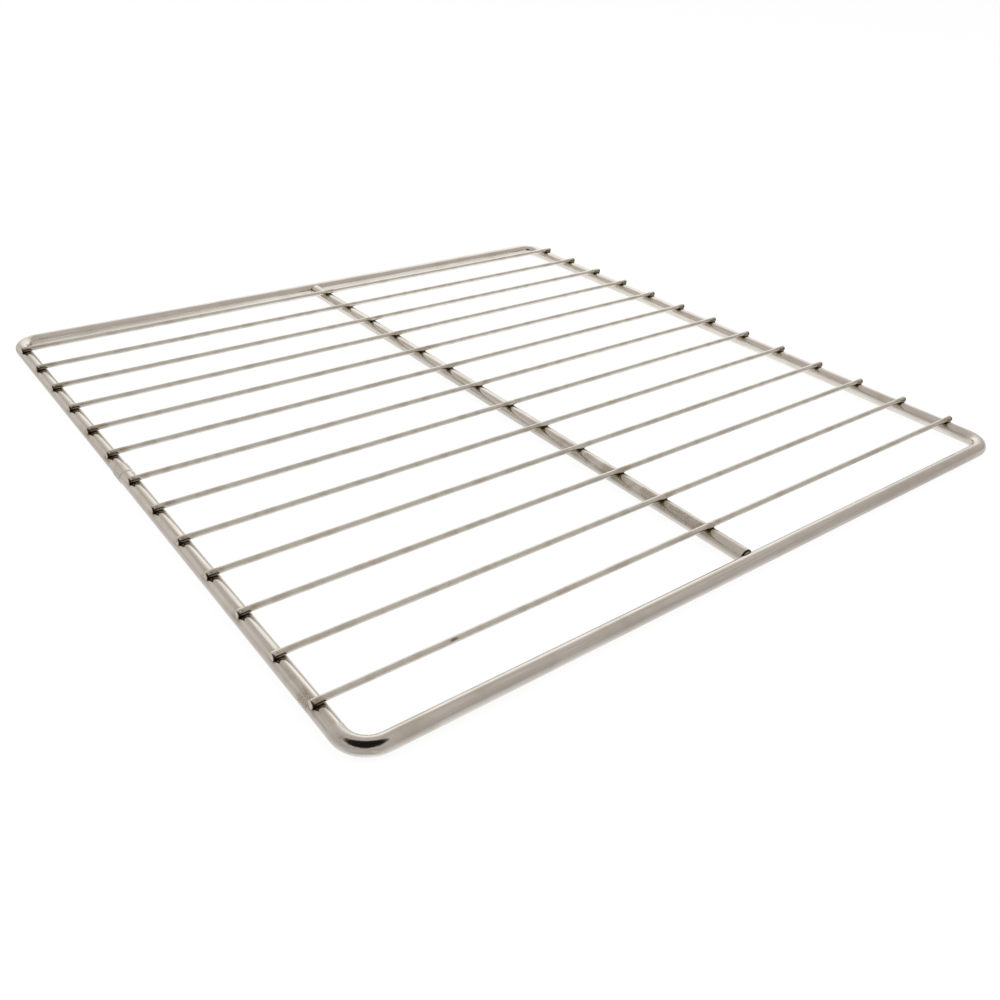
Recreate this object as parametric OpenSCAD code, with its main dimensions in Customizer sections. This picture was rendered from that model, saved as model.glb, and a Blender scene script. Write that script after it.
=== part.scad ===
// Wire rack for a fryer: a round-rod frame, a support rod across its middle and a row of
// thin cross wires, joined by resistance welds at every crossing.
// X runs along the cross wires, Y runs from the front rail to the back rail and Z is up.
// The origin is under the middle of the frame, on the plane that the rack rests on.

/* [Frame] */
// Outside width of the frame, along the cross wires
frame_width = 349.2; // [250:0.1:500]
// Outside depth of the frame, from front to back
frame_depth = 352.4; // [250:0.1:500]
// Diameter of the rod that the frame is bent from
frame_rod_d = 6.35; // [5:0.05:9]
// Radius of the four corner bends, to the middle of the rod
corner_bend_r = 10; // [8:0.5:16]

/* [Butt weld of the frame] */
// Number of the bay, counted from the back, that holds the weld on the left rail
butt_weld_bay = 6; // [1:1:7]
// Length of the thickened band along the rail
butt_weld_length = 8.4; // [4:0.1:12]
// Height of the band above the rod
butt_weld_rise = 0.3; // [0.1:0.05:0.6]
// Run of the slope that rises to the band at its front end
butt_weld_taper = 0.6; // [0.3:0.1:1.5]
// Depth of the seam line at the back end of the band
butt_seam_depth = 0.15; // [0.05:0.05:0.4]

/* [Support rod] */
// Diameter of the support rod
support_rod_d = 6.35; // [4:0.05:8]
// Depth that each end is forged into the rail it butts against
support_end_set_in = 0.4; // [0.1:0.05:1]
// Edge break around the flat-cut ends
support_end_chamfer = 0.3; // [0.1:0.05:0.8]

/* [Cross wires] */
// Number of cross wires
wire_count = 13; // [8:1:15]
// Diameter of a cross wire
wire_d = 2.4; // [1.6:0.05:3.2]
// Distance from the middle of the front rail to the middle of the first wire behind it
front_gap = 22; // [16:0.5:40]
// Distance from the middle of the back rail to the middle of the last wire before it
back_gap = 19.25; // [16:0.25:40]
// Length of wire past the middle of a side rail
wire_overhang = 2; // [1.8:0.1:3]
// Edge break around the sheared ends
wire_end_chamfer = 0.2; // [0.05:0.05:0.5]

/* [Crossing welds] */
// Depth that a wire is pressed down into a rod where they cross
weld_set_down = 0.3; // [0.1:0.05:0.6]
// Spread of the squeezed-out bead beyond each side of the wire
weld_bead_reach = 0.3; // [0.1:0.05:0.5]
// Height of the bead above the top of the rod
weld_bead_height = 0.6; // [0.3:0.05:0.8]
// Width of the sloping shoulder round the top of the bead
weld_bead_shoulder = 0.5; // [0.1:0.05:0.6]

/* [Hidden] */
$fn = 64;
plating_colour = [0.73, 0.70, 0.66];
frame_rod_r = frame_rod_d / 2;
support_rod_r = support_rod_d / 2;
wire_r = wire_d / 2;
rail_x = frame_width / 2 - frame_rod_r;
rail_y = frame_depth / 2 - frame_rod_r;
side_run = 2 * (rail_y - corner_bend_r);
end_run = 2 * (rail_x - corner_bend_r);
rod_top = frame_rod_d;
support_axis_z = rod_top - support_rod_r;
wire_axis_z = rod_top + wire_r - weld_set_down;
wire_pitch = (2 * rail_y - front_gap - back_gap) / (wire_count - 1);
wire_length = 2 * (rail_x + wire_overhang);
weld_bead_r = wire_r + weld_bead_reach;
butt_weld_seam_y = wire_y(butt_weld_bay) - (wire_pitch - butt_weld_length) / 2;

// Wires are numbered from the back rail to the front rail.
function wire_y(n) = rail_y - back_gap - (n - 1) * wire_pitch;
function wire_name(n) = str("cross_wire_", n < 10 ? "0" : "", n);

// A round bar along Y with its middle at the origin and an edge break at both ends
module bar_along_y(d, length, chamfer) {
    rotate([90, 0, 0])
        translate([0, 0, -length / 2])
            rotate_extrude()
                polygon([
                    [0, 0],
                    [d / 2 - chamfer, 0],
                    [d / 2, chamfer],
                    [d / 2, length - chamfer],
                    [d / 2 - chamfer, length],
                    [0, length]
                ]);
}

module straight_rail(length) {
    rotate([90, 0, 0])
        cylinder(h = length, r = frame_rod_r, center = true);
}

// The raised band of the butt weld, from its foot on the rod to the seam. It is ground off
// underneath, so that the rail still rests along its whole length.
module butt_weld_band() {
    foot = butt_weld_seam_y - butt_weld_length;
    intersection() {
        rotate([-90, 0, 0])
            rotate_extrude()
                polygon([
                    [0, foot - butt_weld_taper],
                    [frame_rod_r - butt_weld_rise, foot - butt_weld_taper],
                    [frame_rod_r + butt_weld_rise, foot + butt_weld_taper],
                    [frame_rod_r + butt_weld_rise, butt_weld_seam_y],
                    [0, butt_weld_seam_y]
                ]);
        translate([0, 0, frame_rod_d - frame_rod_r])
            cube([2 * frame_rod_d, 2 * side_run, 2 * frame_rod_d], center = true);
    }
}

// A ring with a sharp inner edge, which cuts the seam and slopes the end of the band
module butt_weld_groove() {
    reach = 2 * butt_weld_rise;
    rotate([-90, 0, 0])
        rotate_extrude()
            polygon([
                [frame_rod_r - butt_seam_depth, butt_weld_seam_y],
                [frame_rod_r + reach, butt_weld_seam_y - butt_seam_depth - reach],
                [frame_rod_r + reach, butt_weld_seam_y + butt_seam_depth + reach]
            ]);
}

module left_rail() {
    difference() {
        union() {
            straight_rail(side_run);
            butt_weld_band();
        }
        butt_weld_groove();
    }
}

module corner_bend() {
    rotate_extrude(angle = 90)
        translate([corner_bend_r, 0])
            circle(r = frame_rod_r);
}

module side_rails() {
    translate([-rail_x, 0, frame_rod_r])
        left_rail();
    translate([rail_x, 0, frame_rod_r])
        straight_rail(side_run);
}

module end_rails() {
    for (side = [-1, 1])
        translate([0, side * rail_y, frame_rod_r])
            rotate([0, 0, 90])
                straight_rail(end_run);
}

// One rod, bent to a rounded rectangle and butt welded end to end in the left rail
module perimeter_frame() {
    bend_x = rail_x - corner_bend_r;
    bend_y = rail_y - corner_bend_r;
    color(plating_colour) {
        side_rails();
        end_rails();
        for (corner = [[1, 1, 0], [-1, 1, 90], [-1, -1, 180], [1, -1, 270]])
            translate([corner[0] * bend_x, corner[1] * bend_y, frame_rod_r])
                rotate([0, 0, corner[2]])
                    corner_bend();
    }
}

module support_bar() {
    length = 2 * (rail_y - frame_rod_r + support_end_set_in);
    translate([0, 0, support_axis_z])
        bar_along_y(support_rod_d, length, support_end_chamfer);
}

// The support rod's flat ends bite into the front and back rails. Its top is level with
// the tops of the side rails, so the wires touch all three.
module center_support_rod() {
    color(plating_colour)
        difference() {
            support_bar();
            end_rails();
        }
}

// Metal squeezed out round a crossing: an upright wall with a sloping shoulder. Its foot
// reaches down to the middle of the rod, which is later cut away from it.
module weld_bead() {
    shoulder = min(weld_bead_shoulder, weld_bead_height);
    rotate_extrude()
        polygon([
            [0, -support_rod_r],
            [weld_bead_r, -support_rod_r],
            [weld_bead_r, weld_bead_height - shoulder],
            [weld_bead_r - shoulder, weld_bead_height],
            [0, weld_bead_height]
        ]);
}

// A sheared wire with a bead at each crossing, seated on the rods by a shallow saddle
module cross_wire(n) {
    color(plating_colour)
        difference() {
            translate([0, wire_y(n), 0])
                union() {
                    translate([0, 0, wire_axis_z])
                        rotate([0, 0, 90])
                            bar_along_y(wire_d, wire_length, wire_end_chamfer);
                    for (x = [-rail_x, 0, rail_x])
                        translate([x, 0, rod_top])
                            weld_bead();
                }
            side_rails();
            support_bar();
        }
}

perimeter_frame();
center_support_rod();
for (n = [1 : wire_count])
    cross_wire(n);
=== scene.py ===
from math import copysign, cos, pi, radians, sin, sqrt

import bpy
from bpy.props import FloatProperty, FloatVectorProperty, PointerProperty
from mathutils import Matrix, Vector


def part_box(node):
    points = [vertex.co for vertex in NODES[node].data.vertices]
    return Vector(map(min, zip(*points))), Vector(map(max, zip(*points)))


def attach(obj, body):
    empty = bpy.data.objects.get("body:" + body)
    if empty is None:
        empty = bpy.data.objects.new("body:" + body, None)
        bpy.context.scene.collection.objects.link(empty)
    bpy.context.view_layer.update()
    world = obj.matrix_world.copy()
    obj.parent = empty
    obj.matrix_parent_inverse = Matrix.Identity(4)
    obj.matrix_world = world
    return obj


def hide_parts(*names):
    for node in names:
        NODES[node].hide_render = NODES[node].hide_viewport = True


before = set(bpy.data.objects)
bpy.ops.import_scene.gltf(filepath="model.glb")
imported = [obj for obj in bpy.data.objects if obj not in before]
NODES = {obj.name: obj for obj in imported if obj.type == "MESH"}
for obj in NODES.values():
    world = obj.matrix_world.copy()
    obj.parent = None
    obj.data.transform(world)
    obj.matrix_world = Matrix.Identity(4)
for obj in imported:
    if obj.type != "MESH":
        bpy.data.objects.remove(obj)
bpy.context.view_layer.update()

bl_info = {
    "name": "Fryer wire rack",
    "version": (1, 0, 0),
    "blender": (4, 5, 0),
    "location": "3D View > Sidebar > Wire Rack",
    "description": "Plates the rods and wires of the fryer wire rack and sets the studio around it",
    "category": "Object",
}

# Sizes, in metres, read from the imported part
MM = 0.001
WIRES = sorted(name for name in NODES if name.startswith("cross_wire"))
ROD_R = (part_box("center_support_rod")[1].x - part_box("center_support_rod")[0].x) / 2
RAIL_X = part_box("perimeter_frame")[1].x - ROD_R
RAIL_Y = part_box("perimeter_frame")[1].y - ROD_R
WIRE_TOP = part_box(WIRES[0])[1].z
WIRE_END_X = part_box(WIRES[0])[1].x
WIRE_Y = {name: (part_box(name)[0].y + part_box(name)[1].y) / 2 for name in WIRES}
BACK_WIRE_Y = WIRE_Y[WIRES[0]]
FRONT_WIRE_Y = WIRE_Y[WIRES[-1]]
WIRE_PITCH = (BACK_WIRE_Y - FRONT_WIRE_Y) / (len(WIRES) - 1)
SUPPORT_END_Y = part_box("center_support_rod")[1].y

# The butt weld's band is all that stands proud of the left rail
PROUD_X = -RAIL_X - ROD_R - 0.05 * MM
WELD_BAND = [spot.co.y for spot in NODES["perimeter_frame"].data.vertices if spot.co.x < PROUD_X]

SMOOTH = {"interpolation_type": "SMOOTHSTEP"}


def linear(code):
    """The linear colour, with alpha, of an sRGB hex value."""
    parts = [int(code[i : i + 2], 16) / 255 for i in (1, 3, 5)]
    return [p / 12.92 if p <= 0.04045 else ((p + 0.055) / 1.055) ** 2.4 for p in parts] + [1.0]


def add(tree, kind, inputs=(), **settings):
    """Adds one node with its settings. An input takes a value, a socket, or a node for its first output."""
    made = tree.nodes.new("ShaderNode" + kind)
    for name, value in settings.items():
        setattr(made, name, value)
    for key, value in inputs.items() if isinstance(inputs, dict) else enumerate(inputs):
        if isinstance(value, bpy.types.Node):
            value = value.outputs[0]
        if isinstance(value, bpy.types.NodeSocket):
            tree.links.new(value, made.inputs[key])
        else:
            made.inputs[key].default_value = value
    return made


def new_material(name):
    made = bpy.data.materials.new(name)
    made.use_nodes = True
    made.node_tree.nodes.clear()
    return made


def new_mesh_object(name, points, faces, *materials):
    mesh = bpy.data.meshes.new(name)
    mesh.from_pydata(points, [], faces)
    mesh.update()
    for material in materials:
        mesh.materials.append(material)
    made = bpy.data.objects.new(name, mesh)
    bpy.context.scene.collection.objects.link(made)
    return made


class PlatingLook(bpy.types.PropertyGroup):
    """Bright nickel plating over drawn steel."""

    rod_metal: FloatVectorProperty(
        name="Rod nickel",
        description="Colour that the plated rod gives to white light",
        subtype="COLOR",
        size=4,
        min=0,
        max=1,
        default=linear("#F5F0E9"),
    )
    wire_metal: FloatVectorProperty(
        name="Wire nickel",
        description="Colour that the plated wire gives to white light",
        subtype="COLOR",
        size=4,
        min=0,
        max=1,
        default=linear("#F4F1E8"),
    )
    clouded: FloatVectorProperty(
        name="Clouded nickel",
        description="Colour where the plating is thinner or rougher",
        subtype="COLOR",
        size=4,
        min=0,
        max=1,
        default=linear("#E4DDD3"),
    )
    straw: FloatVectorProperty(
        name="Heat tint",
        description="Straw colour that the weld's heat leaves beside a crossing",
        subtype="COLOR",
        size=4,
        min=0,
        max=1,
        default=linear("#C1B39B"),
    )
    # Partly painted shade: this colour also darkens the corners under the wires on the rods and wires, where
    # shade falls, as well as tinting the thin plating there.
    crevice_tint_and_shade: FloatVectorProperty(
        name="Crevice",
        description="Olive brown in the corner under a wire, where hardly any nickel settles",
        subtype="COLOR",
        size=4,
        min=0,
        max=1,
        default=linear("#80745A"),
    )
    # Mostly painted shadow and painted reflection: behind each wire's sheared end, round the support rod's
    # end rims, along a wire's underside past a weld and in the stripes of a weld's corner; only the mark on
    # the front wire is a real burn.
    burn_and_painted_shade: FloatVectorProperty(
        name="Burnt edge",
        description="Nearly black scale behind a wire's sheared end and round the support rod's ends",
        subtype="COLOR",
        size=4,
        min=0,
        max=1,
        default=linear("#3A3226"),
    )
    stain: FloatVectorProperty(
        name="Stain",
        description="Colour of the baked grainy film between the front wires",
        subtype="COLOR",
        size=4,
        min=0,
        max=1,
        default=linear("#94805F"),
    )
    rod_roughness: FloatProperty(
        name="Rod roughness",
        description="How much the rod's plating spreads a reflection",
        subtype="FACTOR",
        min=0,
        max=1,
        default=0.1,
    )
    wire_roughness: FloatProperty(
        name="Wire roughness",
        description="How much the thin wire's plating spreads a reflection",
        subtype="FACTOR",
        min=0,
        max=1,
        default=0.14,
    )
    end_roughness: FloatProperty(
        name="Sheared end roughness",
        description="How much a wire's sheared end spreads a reflection",
        subtype="FACTOR",
        min=0,
        max=1,
        default=0.36,
    )


class WireForm(bpy.types.PropertyGroup):
    """The form of a cross wire where it is welded and sheared."""

    diameter: FloatProperty(
        name="Wire diameter",
        description="Diameter of the drawn wire",
        unit="LENGTH",
        min=1 * MM,
        max=4 * MM,
        default=2.4 * MM,
    )
    spread: FloatProperty(
        name="Spread at a weld",
        description="Share by which the wire grows wider where the weld presses it on a rod",
        subtype="FACTOR",
        min=0,
        max=0.3,
        default=0.08,
    )
    weld_reach: FloatProperty(
        name="Weld reach",
        description="Length to each side of a rod's axis over which the wire is pressed wider",
        unit="LENGTH",
        min=1 * MM,
        max=8 * MM,
        default=3 * MM,
    )
    bead_length: FloatProperty(
        name="Bead length",
        description="Length to each side of a rod's axis to which the squeezed-out bead runs",
        unit="LENGTH",
        min=1.2 * MM,
        max=3 * MM,
        default=1.7 * MM,
    )
    bead_reach: FloatProperty(
        name="Bead reach",
        description="How far the foot of the bead stands out to each side of the wire",
        unit="LENGTH",
        min=0,
        max=1 * MM,
        default=0.25 * MM,
    )
    bite: FloatProperty(
        name="Bite",
        description="How far the bead and the pressed end sink into the rod's skin, so that no gap shows",
        unit="LENGTH",
        min=0,
        max=0.3 * MM,
        default=0.08 * MM,
    )
    end_reach: FloatProperty(
        name="End reach",
        description="How far the sheared end is smeared past the cut of the CAD wire",
        unit="LENGTH",
        min=0,
        max=1 * MM,
        default=0.6 * MM,
    )
    end_length: FloatProperty(
        name="End length",
        description="Length of the wire's end that the shear pressed down round the rail",
        unit="LENGTH",
        min=0.5 * MM,
        max=4 * MM,
        default=1.9 * MM,
    )
    end_spread: FloatProperty(
        name="End spread",
        description="Share by which the shear and the weld widen the end of the wire",
        subtype="FACTOR",
        min=0,
        max=0.6,
        default=0.2,
    )
    end_bevel: FloatProperty(
        name="End bevel",
        description="Rounding of the rim of the sheared end",
        unit="LENGTH",
        min=0,
        max=0.5 * MM,
        default=0.16 * MM,
    )


class StudioLook(bpy.types.PropertyGroup):
    """The lit white table, the pale room around it and the camera."""

    room: FloatVectorProperty(
        name="Room",
        description="Colour of the room's walls as the metal reflects them",
        subtype="COLOR",
        size=4,
        min=0,
        max=1,
        default=linear("#AEA9A5"),
    )
    ceiling: FloatVectorProperty(
        name="Ceiling",
        description="Colour of the ceiling as the metal reflects it",
        subtype="COLOR",
        size=4,
        min=0,
        max=1,
        default=linear("#B9B4B0"),
    )
    bright_side: FloatVectorProperty(
        name="Bright side",
        description="Colour of the wall beyond the left rail, which takes more light",
        subtype="COLOR",
        size=4,
        min=0,
        max=1,
        default=linear("#CBC6C2"),
    )
    plain_level: FloatProperty(
        name="Plain level",
        description="Strength of the even light that the room gives",
        min=0,
        max=2,
        default=0.5,
    )
    lamp_power: FloatProperty(
        name="Lamp power",
        description="Power of each soft lamp",
        subtype="POWER",
        min=0,
        max=50,
        default=5,
    )
    camera_place: FloatVectorProperty(
        name="Camera place",
        description="Where the camera stands",
        subtype="TRANSLATION",
        unit="LENGTH",
        default=(-0.2633, -0.3425, 0.2078),
    )
    camera_target: FloatVectorProperty(
        name="Camera target",
        description="The point in the middle of the picture",
        subtype="TRANSLATION",
        unit="LENGTH",
        default=(-0.0538, -0.0863, 0.0032),
    )
    camera_roll: FloatProperty(
        name="Camera roll",
        description="How far the camera leans to one side",
        subtype="ANGLE",
        default=radians(3.359),
    )
    lens: FloatProperty(
        name="Lens",
        description="Focal length on a 36 mm wide sensor",
        unit="CAMERA",
        min=10,
        max=200,
        default=34.35,
    )


class WireRackLook(bpy.types.PropertyGroup):
    """All that a user would change."""

    plating: PointerProperty(type=PlatingLook, name="Plating")
    wire: PointerProperty(type=WireForm, name="Cross wires")
    studio: PointerProperty(type=StudioLook, name="Studio")


def rod_plating(look, support=False):
    """Bright nickel-plated drawn steel rod: nearly a mirror with draw lines along it, cloudy where the
    plating is thin, straw beside each weld, brown with painted shade in the corner under each wire, and
    grainy with a baked film between the front wires. Round the support rod's ends the rim carries a painted
    shadow."""
    made = new_material("nickel_plated_support_rod" if support else "nickel_plated_frame_rod")
    tree = made.node_tree
    place = add(tree, "TexCoord").outputs["Object"]
    x, y, z = add(tree, "SeparateXYZ", [place]).outputs
    off_middle = add(tree, "Math", [y], operation="ABSOLUTE")

    # How near the surface is to the closest cross wire, on the rods that carry wires
    from_back = add(tree, "Math", [y, BACK_WIRE_Y], operation="SUBTRACT")
    to_wire = add(tree, "Math", [from_back, WIRE_PITCH / 2], operation="PINGPONG")
    carries = add(tree, "Math", [off_middle, BACK_WIRE_Y + 7 * MM], operation="LESS_THAN")
    # Painted shade: beside each cross wire the top of the rod takes the corner colour, partly for thin
    # plating and partly for the shade under the wire.
    crevice_tint_and_shade = add(tree, "Math", [carries, 0.85], operation="MULTIPLY")
    beside = add(tree, "MapRange", [to_wire, 2.1 * MM, 1.4 * MM], **SMOOTH)
    on_top = add(tree, "MapRange", [z, 4.6 * MM, 5.9 * MM], **SMOOTH)
    for mask in (beside, on_top):
        crevice_tint_and_shade = add(tree, "Math", [crevice_tint_and_shade, mask], operation="MULTIPLY")

    # Clouds in the plating, about 14 mm across, and straw tint that breaks up with them
    clouds = add(tree, "TexNoise", {"Vector": place, "Scale": 1 / (14 * MM), "Detail": 3.0})
    cloudy = add(tree, "MapRange", [clouds, 0.42, 0.72], **SMOOTH)
    warm = carries
    near_weld = add(tree, "MapRange", [to_wire, 5 * MM, 1.6 * MM], **SMOOTH)
    upper = add(tree, "MapRange", [z, 2.8 * MM, 5.6 * MM], **SMOOTH)
    broken = add(tree, "MapRange", [clouds, 0.3, 0.62], **SMOOTH)
    for mask in (near_weld, upper, broken):
        warm = add(tree, "Math", [warm, mask], operation="MULTIPLY")

    # Baked film of 0.4 mm grains in patches of about 9 mm, on the left of each rod's top. It covers the
    # front half of the support rod and, as it runs slantwise, the last bay or two of the left rail.
    fine_grain = {"Scale": 1 / (0.4 * MM), "Detail": 3.0, "Roughness": 0.65}
    grains = add(tree, "TexNoise", {"Vector": place, **fine_grain})
    stained = add(tree, "MapRange", [grains, 0.34, 0.66], **SMOOTH)
    patches = add(tree, "TexNoise", {"Vector": place, "Scale": 1 / (9 * MM), "Detail": 2.0})
    slanted = add(tree, "Math", [x, -0.43, y], operation="MULTIPLY_ADD")
    off_axis = add(tree, "Math", [x, RAIL_X / 2, -RAIL_X / 2], operation="WRAP")
    film_masks = (
        add(tree, "MapRange", [patches, 0.34, 0.56], **SMOOTH),
        add(tree, "MapRange", [off_axis, 0.9 * MM, -0.7 * MM], **SMOOTH),
        add(tree, "MapRange", [slanted, -46 * MM, -74 * MM], **SMOOTH),
        add(tree, "MapRange", [x, 0.6 * RAIL_X, 0.5 * RAIL_X], **SMOOTH),
        add(tree, "MapRange", [y, FRONT_WIRE_Y, FRONT_WIRE_Y + 3 * MM], **SMOOTH),
        add(tree, "MapRange", [z, 2.4 * MM, 3.6 * MM], **SMOOTH),
        0.7,
    )
    for mask in film_masks:
        stained = add(tree, "Math", [stained, mask], operation="MULTIPLY")

    # Draw lines along each rod, about 0.7 mm apart, with thinner plating in their grooves
    y_rods = add(tree, "VectorMath", [place, (1.0, 0.02, 1.0)], operation="MULTIPLY")
    x_rods = add(tree, "VectorMath", [place, (0.02, 1.0, 1.0)], operation="MULTIPLY")
    in_end_rail = add(tree, "MapRange", [off_middle, RAIL_Y - 12 * MM, RAIL_Y - 6 * MM], **SMOOTH)
    drawn = add(tree, "Mix", {0: in_end_rail, 4: y_rods, 5: x_rods}, data_type="VECTOR").outputs[1]
    height = add(tree, "TexNoise", {"Vector": drawn, "Scale": 1 / (0.7 * MM), "Detail": 3.0}).outputs[0]
    grooved = add(tree, "MapRange", [height, 0.56, 0.42, 0.0, 0.75], **SMOOTH)
    cloudy = add(tree, "Math", [cloudy, grooved], operation="MAXIMUM")

    tone = add(tree, "Mix", {0: cloudy, 6: look.rod_metal, 7: look.clouded}, data_type="RGBA").outputs[2]
    tone = add(tree, "Mix", {0: warm, 6: tone, 7: look.straw}, data_type="RGBA").outputs[2]
    tone = add(tree, "Mix", {0: stained, 6: tone, 7: look.stain}, data_type="RGBA").outputs[2]
    tone = add(tree, "Mix", {0: crevice_tint_and_shade, 6: tone, 7: look.crevice_tint_and_shade}, data_type="RGBA").outputs[2]

    if support:
        # Round each sheared end the rim carries a painted shadow, and the cut face inside it is left rough
        to_axis = add(tree, "VectorMath", [place, (0, 0, -ROD_R)], operation="ADD")
        to_axis = add(tree, "VectorMath", [to_axis, (1, 0, 1)], operation="MULTIPLY")
        to_axis = add(tree, "VectorMath", [to_axis], operation="LENGTH").outputs["Value"]
        to_end = add(tree, "Math", [SUPPORT_END_Y, off_middle], operation="SUBTRACT")
        worn = add(tree, "MapRange", [to_end, 0.7 * MM, 0.4 * MM], **SMOOTH)
        rim = add(tree, "MapRange", [to_axis, ROD_R - 0.75 * MM, ROD_R - 0.5 * MM], **SMOOTH)
        rim = add(tree, "Math", [rim, worn], operation="MULTIPLY")
        tone = add(tree, "Mix", {0: rim, 6: tone, 7: look.burn_and_painted_shade}, data_type="RGBA").outputs[2]
    else:
        # The band of the butt weld is ground, with lines about 0.3 mm apart round the rail
        middle = (min(WELD_BAND) + max(WELD_BAND)) / 2
        half_length = (max(WELD_BAND) - min(WELD_BAND)) / 2
        on_left = add(tree, "Math", [x, 0.0], operation="LESS_THAN")
        worn = add(tree, "Math", [y, middle, half_length], operation="COMPARE")
        worn = add(tree, "Math", [worn, on_left], operation="MULTIPLY")
        around = add(tree, "VectorMath", [place, (0.05, 1.0, 0.05)], operation="MULTIPLY")
        ground = add(tree, "TexNoise", {"Vector": around, "Scale": 1 / (0.3 * MM), "Detail": 2.0})
        height = add(tree, "Mix", {0: worn, 2: height, 3: ground}, data_type="FLOAT").outputs[0]

        # One olive spot of about 2 mm inside the far left bend
        spot_place = (-RAIL_X + 5.2 * MM, RAIL_Y - 4.9 * MM, ROD_R + 0.8 * MM)
        spot = add(tree, "VectorMath", [place, spot_place], operation="DISTANCE").outputs["Value"]
        spot = add(tree, "MapRange", [spot, 1.5 * MM, 0.7 * MM, 0.0, 0.7], **SMOOTH)
        tone = add(tree, "Mix", {0: spot, 6: tone, 7: look.crevice_tint_and_shade}, data_type="RGBA").outputs[2]

    relief = add(tree, "Bump", {"Strength": 0.6, "Distance": 0.05 * MM, "Height": height})
    rough = add(tree, "Math", [cloudy, 0.05, look.rod_roughness], operation="MULTIPLY_ADD")
    for mask, added in ((crevice_tint_and_shade, 0.25), (stained, 0.25), (worn, 0.16)):
        rough = add(tree, "Math", [mask, added, rough], operation="MULTIPLY_ADD")
    metal = add(
        tree, "BsdfPrincipled", {"Base Color": tone, "Metallic": 1.0, "Roughness": rough, "Normal": relief}
    )
    add(tree, "OutputMaterial", {"Surface": metal})
    return made


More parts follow.
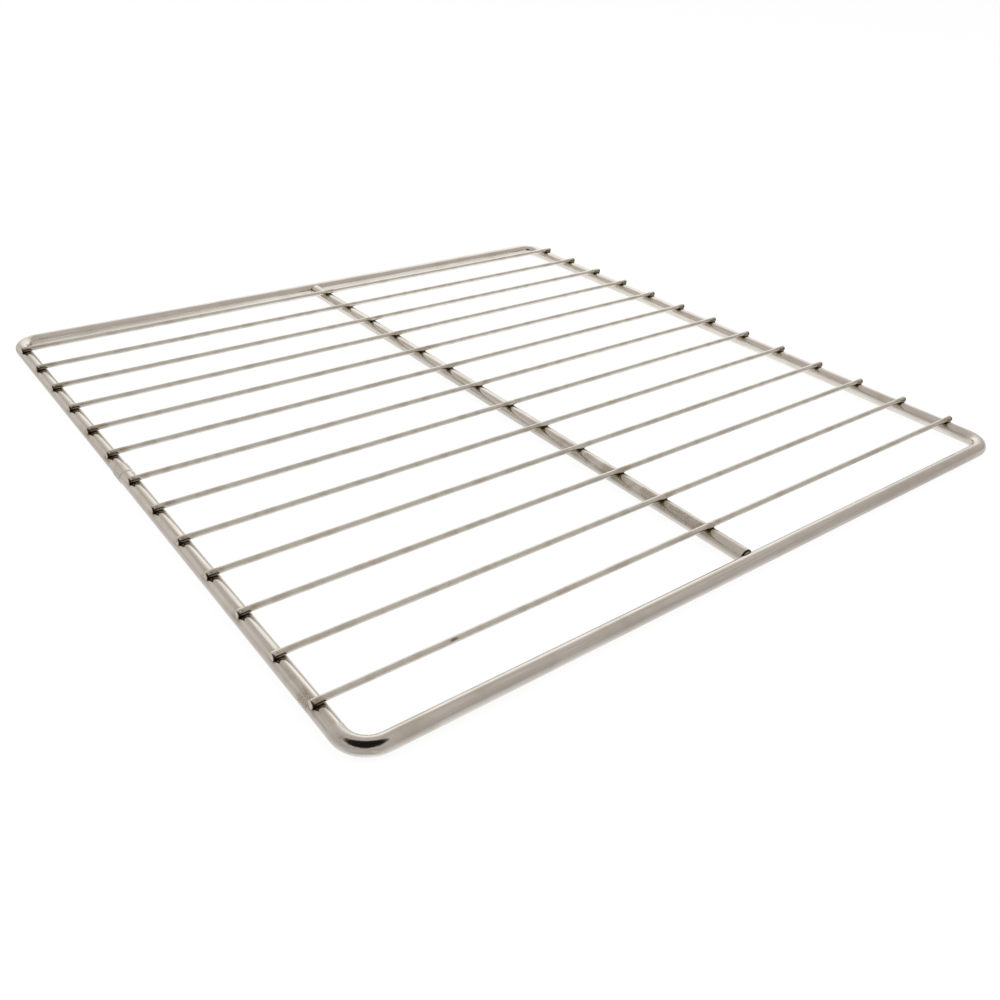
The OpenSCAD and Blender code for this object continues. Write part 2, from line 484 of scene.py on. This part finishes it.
def wire_plating(look, form):
    """Bright nickel-plated drawn steel wire: a softer mirror than the rod, straw near each rod, olive with
    painted shade and painted black reflection stripes in the corner of a weld, a painted dark reflection
    along its underside past a weld, and a painted nearly black shadow behind its sheared ends."""
    made = new_material("nickel_plated_drawn_wire")
    tree = made.node_tree
    place = add(tree, "TexCoord").outputs["Object"]
    x, y, z = add(tree, "SeparateXYZ", [place]).outputs
    to_rod = add(tree, "Math", [x, RAIL_X / 2], operation="PINGPONG")
    axis_z = WIRE_TOP - form.diameter / 2

    clouds = add(tree, "TexNoise", {"Vector": place, "Scale": 1 / (6 * MM), "Detail": 3.0})
    cloudy = add(tree, "MapRange", [clouds, 0.4, 0.7], **SMOOTH)
    broken = add(tree, "MapRange", [clouds, 0.3, 0.6, 0.0, 0.6], **SMOOTH)
    warm = add(tree, "MapRange", [to_rod, 8 * MM, 2.5 * MM], **SMOOTH)
    warm = add(tree, "Math", [warm, broken], operation="MULTIPLY")

    # Draw lines along the wire, about 0.4 mm apart
    drawn = add(tree, "VectorMath", [place, (0.02, 1.0, 1.0)], operation="MULTIPLY")
    lines = add(tree, "TexNoise", {"Vector": drawn, "Scale": 1 / (0.4 * MM), "Detail": 2.0})

    # In the corner of a weld the wire is olive, partly thin plating and partly painted shade, with painted
    # nearly black stripes along it, about 0.9 mm apart, that stand in for the rail's reflection of the wire.
    # On a side rail the corner covers more of the wire's side than on the support rod, so it starts 0.8 mm
    # higher.
    streak_pitch, raised = 0.9 * MM, 0.8 * MM
    first_streak = axis_z - 0.5 * MM
    to_middle = add(tree, "Math", [x], operation="ABSOLUTE")
    behind_end = add(tree, "Math", [WIRE_END_X + form.end_reach, to_middle], operation="SUBTRACT")
    on_rail = add(tree, "MapRange", [behind_end, 5 * MM, 4.2 * MM], **SMOOTH)
    lowered = add(tree, "Math", [on_rail, -raised, z], operation="MULTIPLY_ADD")
    foot = add(tree, "MapRange", [lowered, axis_z - 0.1 * MM, axis_z - 0.4 * MM], **SMOOTH)
    in_weld = add(tree, "MapRange", [to_rod, 2.9 * MM, 2.0 * MM, 0.0, 0.95], **SMOOTH)
    foot = add(tree, "Math", [foot, in_weld], operation="MULTIPLY")
    wandering = add(tree, "Math", [lines, 0.4 * MM, lowered], operation="MULTIPLY_ADD")
    below_first = add(tree, "Math", [first_streak, wandering], operation="SUBTRACT")
    streaks = add(tree, "Math", [below_first, 2 * pi / streak_pitch], operation="MULTIPLY")
    streaks = add(tree, "Math", [streaks], operation="COSINE")
    streaks = add(tree, "MapRange", [streaks, -0.3, 0.5], **SMOOTH)
    streaks = add(tree, "Math", [streaks, foot], operation="MULTIPLY")
    olive = add(tree, "Math", [foot, 0.6], operation="MULTIPLY")

    # Past the weld a painted dark reflection runs along the underside and thins out away from the rod
    under = add(tree, "MapRange", [z, axis_z - 0.4 * MM, axis_z - 0.9 * MM], **SMOOTH)
    past_weld = add(tree, "MapRange", [to_rod, 9 * MM, 2.5 * MM, 0.0, 0.5], **SMOOTH)
    under = add(tree, "Math", [under, past_weld], operation="MULTIPLY")

    # A painted shadow ring lies up to 1 mm behind the sheared end and fades out on top of the wire
    ring = add(tree, "MapRange", [behind_end, 0.08 * MM, 0.22 * MM], **SMOOTH)
    ring_back = add(tree, "MapRange", [behind_end, 1.0 * MM, 0.6 * MM], **SMOOTH)
    below_top = add(tree, "MapRange", [z, axis_z + 1.1 * MM, axis_z + 0.7 * MM, 0.0, 0.9], **SMOOTH)
    for mask in (ring_back, below_top):
        ring = add(tree, "Math", [ring, mask], operation="MULTIPLY")

    # One burn mark on top of the front wire, about 3 mm long
    squeeze = (0.3, 1.0, 1.0)
    mark_place = (-122.9 * MM * squeeze[0], FRONT_WIRE_Y - 0.8 * MM, axis_z + 0.9 * MM)
    mark = add(tree, "VectorMath", [place, squeeze], operation="MULTIPLY")
    mark = add(tree, "VectorMath", [mark, mark_place], operation="DISTANCE").outputs["Value"]
    mark = add(tree, "MapRange", [mark, 0.65 * MM, 0.25 * MM, 0.0, 0.7], **SMOOTH)
    # One mask for the real burn mark and the painted shadow and reflection marks above
    burn_and_painted_shade = streaks
    for mask in (under, ring, mark):
        burn_and_painted_shade = add(tree, "Math", [burn_and_painted_shade, mask], operation="MAXIMUM")

    tone = add(tree, "Mix", {0: cloudy, 6: look.wire_metal, 7: look.clouded}, data_type="RGBA").outputs[2]
    tone = add(tree, "Mix", {0: warm, 6: tone, 7: look.straw}, data_type="RGBA").outputs[2]
    tone = add(tree, "Mix", {0: olive, 6: tone, 7: look.crevice_tint_and_shade}, data_type="RGBA").outputs[2]
    tone = add(tree, "Mix", {0: burn_and_painted_shade, 6: tone, 7: look.burn_and_painted_shade}, data_type="RGBA").outputs[2]

    relief = add(tree, "Bump", {"Strength": 0.6, "Distance": 0.012 * MM, "Height": lines})
    rough = add(tree, "Math", [cloudy, 0.06, look.wire_roughness], operation="MULTIPLY_ADD")
    for mask in (foot, burn_and_painted_shade):
        rough = add(tree, "Math", [mask, 0.2, rough], operation="MULTIPLY_ADD")
    metal = add(
        tree, "BsdfPrincipled", {"Base Color": tone, "Metallic": 1.0, "Roughness": rough, "Normal": relief}
    )
    add(tree, "OutputMaterial", {"Surface": metal})
    return made


def sheared_end_plating(look):
    """Sheared steel wire end under bright nickel: pale and satin, with upright shear lines and dark pits."""
    made = new_material("nickel_plated_sheared_end")
    tree = made.node_tree
    place = add(tree, "TexCoord").outputs["Object"]
    upright = add(tree, "VectorMath", [place, (1.0, 1.0, 0.2)], operation="MULTIPLY")
    lines = add(tree, "TexNoise", {"Vector": upright, "Scale": 1 / (0.35 * MM), "Detail": 3.0})
    pits = add(tree, "TexNoise", {"Vector": place, "Scale": 1 / (1.6 * MM), "Detail": 2.0})
    pitted = add(tree, "MapRange", [pits, 0.56, 0.68], **SMOOTH)
    tone = add(tree, "Mix", {0: pitted, 6: look.rod_metal, 7: look.stain}, data_type="RGBA").outputs[2]
    relief = add(tree, "Bump", {"Strength": 0.8, "Distance": 0.05 * MM, "Height": lines})
    metal = add(
        tree,
        "BsdfPrincipled",
        {"Base Color": tone, "Metallic": 1.0, "Roughness": look.end_roughness, "Normal": relief},
    )
    add(tree, "OutputMaterial", {"Surface": metal})
    return made


def ease(value):
    """A smooth step for a value that runs from 0 to 1."""
    value = min(max(value, 0), 1)
    return value * value * (3 - 2 * value)


def wire_ring(name, x, scale, form):
    """One ring of a cross wire's skin. The wire is round, a little wider in a weld, and its lower half there
    is a squarish bead on the skin of the rod. Its sheared end is pressed down round the rail's shoulder."""
    sides = 36
    radius = form.diameter / 2
    axis_z = WIRE_TOP - radius
    to_rod = min(abs(x), abs(RAIL_X - abs(x)))
    pressed = (1 + cos(pi * min(to_rod / form.weld_reach, 1))) / 2
    bead = ease((form.bead_length - to_rod) / (form.bead_length / 2))
    end_x = WIRE_END_X + form.end_reach
    pressed_end = ease((abs(x) - end_x + form.end_length) / (form.end_length - 2 * form.end_bevel))
    half_width = radius * (1 + max(form.spread * pressed, form.end_spread * pressed_end))
    skin_z = ROD_R + sqrt(max(ROD_R**2 - to_rod**2, 0))
    depth = radius + (axis_z - skin_z + form.bite - radius) * max(bead, pressed_end)
    power = 1 / (1 + 2 * bead)
    ring = []
    for side in range(sides):
        angle = 2 * pi * side / sides
        across, up = cos(angle), sin(angle)
        if up < 0:
            foot = form.bead_reach * bead * abs(up)
            across = copysign(abs(across) ** power, across) * (1 + foot / half_width)
            up = -(abs(up) ** power) * depth / radius
        ring.append((x, WIRE_Y[name] + scale * half_width * across, axis_z + scale * radius * up))
    return ring


def build_wire(name, form, plated, sheared):
    """A cross wire as one closed skin, with its rings close together where its section changes."""
    end_x = WIRE_END_X + form.end_reach
    steps, end_steps = 8, 14
    step = form.weld_reach / steps
    weld_start = RAIL_X - form.weld_reach
    middle = [i * step for i in range(steps + 1)]
    outer_start, outer_end = weld_start + step, end_x - form.end_bevel
    outer = [outer_start + (outer_end - outer_start) * i / end_steps for i in range(end_steps + 1)]
    half = middle + [weld_start - 4 * MM, weld_start] + outer
    stations = [(-x, 1.0) for x in reversed(half[1:])] + [(x, 1.0) for x in half]
    rim = 1 - form.end_bevel / (form.diameter / 2)
    stations = [(-end_x, rim)] + stations + [(end_x, rim)]
    rings = [wire_ring(name, x, scale, form) for x, scale in stations]
    sides = len(rings[0])
    faces = []
    for low in range(0, (len(rings) - 1) * sides, sides):
        for side in range(sides):
            a, b = low + side, low + (side + 1) % sides
            faces.append((a, b, b + sides, a + sides))
    last = (len(rings) - 1) * sides
    faces.append(tuple(reversed(range(sides))))
    faces.append(tuple(range(last, last + sides)))
    points = [point for ring in rings for point in ring]
    made = new_mesh_object(name + "_wire", points, faces, plated, sheared)
    for face in made.data.polygons:
        face.use_smooth = len(face.vertices) == 4
        face.material_index = 0 if face.use_smooth else 1
    return made


class RACK_OT_perimeter_frame(bpy.types.Operator):
    """Plate the bent outer frame"""

    bl_idname = "wire_rack.perimeter_frame"
    bl_label = "Perimeter frame"

    def execute(self, context):
        look = context.scene.wire_rack.plating
        NODES["perimeter_frame"].material_slots[0].material = rod_plating(look)
        return {"FINISHED"}


class RACK_OT_support_rod(bpy.types.Operator):
    """Plate the support rod under the middle of the wires"""

    bl_idname = "wire_rack.support_rod"
    bl_label = "Support rod"

    def execute(self, context):
        look = context.scene.wire_rack.plating
        NODES["center_support_rod"].material_slots[0].material = rod_plating(look, support=True)
        return {"FINISHED"}


class RACK_OT_cross_wires(bpy.types.Operator):
    """Build the cross wires with their welds and sheared ends, and plate them"""

    bl_idname = "wire_rack.cross_wires"
    bl_label = "Cross wires"

    def execute(self, context):
        rack = context.scene.wire_rack
        plated = wire_plating(rack.plating, rack.wire)
        sheared = sheared_end_plating(rack.plating)
        for name in WIRES:
            wire = build_wire(name, rack.wire, plated, sheared)
            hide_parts(name)
            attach(wire, "root")
        return {"FINISHED"}


def lit_table():
    """A white acrylic table top, lit from below and satin, so that it mirrors the room at a low angle, least
    at its far right, where it is lit most. It is even white to the eye, and keeps the rack's shadow."""
    made = new_material("lit_white_acrylic")
    tree = made.node_tree
    path = add(tree, "LightPath").outputs
    shaded = add(tree, "BsdfDiffuse", {"Color": linear("#7F7F7F")})
    made_even = add(tree, "Emission", {"Strength": 0.88})
    white = add(tree, "AddShader", [shaded, made_even])

    place = add(tree, "TexCoord").outputs["Object"]
    to_far_right = add(tree, "VectorMath", [place, (1.0, 0.8, 0.0)], operation="DOT_PRODUCT")
    most = add(tree, "MapRange", [to_far_right.outputs["Value"], -0.02, 0.12, 0.85, 0.35], **SMOOTH)
    facing = add(tree, "LayerWeight", {"Blend": 0.5}).outputs["Facing"]
    curve = add(tree, "Math", [facing, 0.4], operation="POWER")
    share = add(tree, "Math", [curve, most], operation="MULTIPLY")
    lit = add(tree, "Emission", {"Strength": 1.0})
    satin = add(tree, "BsdfGlossy", {"Color": linear("#DCDCDC"), "Roughness": 0.2})
    mirrored = add(tree, "MixShader", [share, lit, satin])

    plain = add(tree, "BsdfDiffuse", {"Color": linear("#E6E6E6")})
    others = add(tree, "MixShader", [path["Is Glossy Ray"], plain, mirrored])
    seen = add(tree, "Math", [path["Is Camera Ray"], path["Is Transmission Ray"]], operation="MAXIMUM")
    surface = add(tree, "MixShader", [seen, others, white])
    add(tree, "OutputMaterial", {"Surface": surface})
    return made


def pale_room(look, size):
    """The painted walls and ceiling of the room, with more light on the wall beyond the left rail."""
    made = new_material("painted_room")
    tree = made.node_tree
    place = add(tree, "TexCoord").outputs["Object"]
    height = add(tree, "SeparateXYZ", [place]).outputs[2]
    rise = add(tree, "MapRange", [height, 0.15 * size, 0.95 * size], **SMOOTH)
    tone = add(tree, "Mix", {0: rise, 6: look.room, 7: look.ceiling}, data_type="RGBA").outputs[2]
    towards_left = Vector((-0.5, 0.84, 0.21)) * size
    off = add(tree, "VectorMath", [place, tuple(towards_left)], operation="DISTANCE").outputs["Value"]
    bright = add(tree, "MapRange", [off, 0.6 * size, 0.2 * size], **SMOOTH)
    tone = add(tree, "Mix", {0: bright, 6: tone, 7: look.bright_side}, data_type="RGBA").outputs[2]
    glow = add(tree, "Emission", {"Color": tone, "Strength": 1.0})
    add(tree, "OutputMaterial", {"Surface": glow})
    return made


def only_in_reflections(piece):
    """A studio card: the metal and the table mirror it, and it lights and hides nothing else."""
    piece.visible_camera = False
    piece.visible_diffuse = False
    piece.visible_transmission = False
    piece.visible_volume_scatter = False
    piece.visible_shadow = False


def build_table():
    reach = 6.0
    corners = [(-reach, -reach, 0), (reach, -reach, 0), (reach, reach, 0), (-reach, reach, 0)]
    table = new_mesh_object("lit_table", corners, [(0, 1, 2, 3)], lit_table())


def build_room(look):
    """A dome round the table, which shows only in reflections."""
    size, sunk = 3.0, 1 * MM
    rows, columns = 12, 36
    points = []
    for row in range(rows):
        rise = radians(90 * row / rows)
        wide, up = size * cos(rise), size * sin(rise) - sunk
        for column in range(columns):
            turn = 2 * pi * column / columns
            points.append((wide * sin(turn), wide * cos(turn), up))
    points.append((0, 0, size - sunk))
    top = len(points) - 1
    faces = []
    for row in range(rows):
        for column in range(columns):
            a = row * columns + column
            b = row * columns + (column + 1) % columns
            faces.append((a, b, b + columns, a + columns) if row < rows - 1 else (a, b, top))
    room = new_mesh_object("room_dome", points, faces, pale_room(look, size))
    only_in_reflections(room)


def build_sweep(look):
    """The white paper that rises behind the rack. Its light falls off to all sides, and it shows only in
    reflections."""
    ahead = Vector(look.camera_target) - Vector(look.camera_place)
    ahead = Vector((ahead.x, ahead.y, 0)).normalized()
    aside = Vector((ahead.y, -ahead.x, 0))
    start, curl, height = 0.36, 0.12, 0.75
    left, right = -0.85, 0.8
    bright_aside, bright_reach, dull_reach = -0.04, 0.27, 0.8
    steps, columns = 8, 12
    profile = []
    for i in range(steps + 1):
        bend = pi / 2 * i / steps
        profile.append((start + curl * sin(bend), curl * (1 - cos(bend))))
    profile += [(start + curl, curl + (height - curl) * i / steps) for i in range(1, steps + 1)]
    points = []
    for far, up in profile:
        for column in range(columns + 1):
            wide = left + (right - left) * column / columns
            points.append(tuple(ahead * far + aside * wide + Vector((0, 0, up + 1 * MM))))
    faces = []
    for row in range(len(profile) - 1):
        for column in range(columns):
            a = row * (columns + 1) + column
            faces.append((a, a + 1, a + columns + 2, a + columns + 1))

    made = new_material("white_paper_sweep")
    tree = made.node_tree
    place = add(tree, "TexCoord").outputs["Object"]
    up = add(tree, "SeparateXYZ", [place]).outputs[2]
    across = add(tree, "VectorMath", [place, tuple(aside)], operation="DOT_PRODUCT").outputs["Value"]
    spot = add(tree, "CombineXYZ", [across, up])
    off = add(tree, "VectorMath", [spot, (bright_aside, 0, 0)], operation="DISTANCE").outputs["Value"]
    share = add(tree, "MapRange", [off, dull_reach, bright_reach], **SMOOTH)
    tone = add(tree, "Mix", {0: share, 6: look.ceiling, 7: linear("#FFFEFC")}, data_type="RGBA").outputs[2]
    glow = add(tree, "Emission", {"Color": tone, "Strength": 1.0})
    add(tree, "OutputMaterial", {"Surface": glow})
    sweep = new_mesh_object("paper_sweep", points, faces, made)
    only_in_reflections(sweep)


def build_dark_card(look):
    """The dark space round the camera, which the near bend of the frame mirrors. It fades into the room at
    its rim, and its right side is cut off, so that the straight rods don't mirror it."""
    corner = Vector((-RAIL_X, -RAIL_Y, ROD_R))
    centre = Vector((-0.279, -0.2845, 0.2946))
    radius, count, right_edge = 0.305, 48, -0.05
    towards = (corner - centre).normalized()
    aside = towards.cross(Vector((0, 0, 1))).normalized()
    upward = towards.cross(aside).normalized()
    points = []
    for i in range(count):
        turn = 2 * pi * i / count
        up = radius * sin(turn)
        across = min(radius * cos(turn), (right_edge - centre.x - upward.x * up) / aside.x)
        points.append(tuple(centre + aside * across + upward * up))
    made = new_material("dark_room_behind_camera")
    tree = made.node_tree
    place = add(tree, "TexCoord").outputs["Object"]
    off = add(tree, "VectorMath", [place, tuple(centre)], operation="DISTANCE").outputs["Value"]
    faded = add(tree, "MapRange", [off, 0.68 * radius, radius], **SMOOTH)
    tone = add(tree, "Mix", {0: faded, 6: linear("#1A1816"), 7: look.room}, data_type="RGBA").outputs[2]
    glow = add(tree, "Emission", {"Color": tone, "Strength": 1.0})
    add(tree, "OutputMaterial", {"Surface": glow})
    card = new_mesh_object("dark_card", points, [tuple(range(count))], made)
    only_in_reflections(card)


def build_lamps(look):
    for name, place in (("left_soft_lamp", (-0.9, 0.7, 1.6)), ("right_soft_lamp", (0.9, -0.7, 1.6))):
        lamp = bpy.data.lights.new(name, "AREA")
        lamp.size = 1.2
        lamp.energy = look.lamp_power
        made = bpy.data.objects.new(name, lamp)
        made.location = place
        made.rotation_euler = (-Vector(place)).to_track_quat("-Z", "Y").to_euler()
        made.visible_glossy = False
        bpy.context.scene.collection.objects.link(made)


def build_world(look):
    """White where the camera, metal or glass sees it, and a plain even light for all else."""
    world = bpy.data.worlds.new("white_studio")
    bpy.context.scene.world = world
    world.use_nodes = True
    tree = world.node_tree
    tree.nodes.clear()
    path = add(tree, "LightPath").outputs
    seen = add(tree, "Math", [path["Is Camera Ray"], path["Is Glossy Ray"]], operation="MAXIMUM")
    seen = add(tree, "Math", [seen, path["Is Transmission Ray"]], operation="MAXIMUM")
    plain = add(tree, "Background", {"Color": linear("#FFFFFF"), "Strength": look.plain_level})
    white = add(tree, "Background", {"Color": linear("#FFFFFF"), "Strength": 1.0})
    surface = add(tree, "MixShader", [seen, plain, white])
    add(tree, "OutputWorld", {"Surface": surface})


def build_camera(look):
    data = bpy.data.cameras.new("camera")
    data.sensor_width = 36
    data.lens = look.lens
    data.clip_start = 10 * MM
    camera = bpy.data.objects.new("camera", data)
    place = Vector(look.camera_place)
    turn = (Vector(look.camera_target) - place).to_track_quat("-Z", "Y").to_matrix().to_4x4()
    camera.matrix_world = Matrix.Translation(place) @ turn @ Matrix.Rotation(look.camera_roll, 4, "Z")
    bpy.context.scene.collection.objects.link(camera)
    bpy.context.scene.camera = camera


class RACK_OT_studio(bpy.types.Operator):
    """Set the white table, the room, the lamps and the camera around the rack"""

    bl_idname = "wire_rack.studio"
    bl_label = "Studio"

    def execute(self, context):
        look = context.scene.wire_rack.studio
        build_table()
        build_room(look)
        build_sweep(look)
        build_dark_card(look)
        build_lamps(look)
        build_world(look)
        build_camera(look)
        context.scene.view_settings.view_transform = "Standard"
        return {"FINISHED"}


class RACK_PT_sidebar(bpy.types.Panel):
    """The rack's looks and its steps"""

    bl_label = "Wire Rack"
    bl_space_type = "VIEW_3D"
    bl_region_type = "UI"
    bl_category = "Wire Rack"

    def draw(self, context):
        rack = context.scene.wire_rack
        for group in (rack.plating, rack.wire, rack.studio):
            box = self.layout.box()
            for name in group.bl_rna.properties.keys():
                if name not in ("rna_type", "name"):
                    box.prop(group, name)
        for operator in OPERATORS:
            self.layout.operator(operator.bl_idname)


OPERATORS = (RACK_OT_perimeter_frame, RACK_OT_support_rod, RACK_OT_cross_wires, RACK_OT_studio)
CLASSES = (PlatingLook, WireForm, StudioLook, WireRackLook) + OPERATORS + (RACK_PT_sidebar,)


def register():
    for made in CLASSES:
        bpy.utils.register_class(made)
    bpy.types.Scene.wire_rack = PointerProperty(type=WireRackLook)


def unregister():
    del bpy.types.Scene.wire_rack
    for made in reversed(CLASSES):
        bpy.utils.unregister_class(made)


def main():
    register()
    bpy.ops.wire_rack.perimeter_frame()
    bpy.ops.wire_rack.support_rod()
    bpy.ops.wire_rack.cross_wires()
    bpy.ops.wire_rack.studio()


if __name__ == "__main__":
    main()
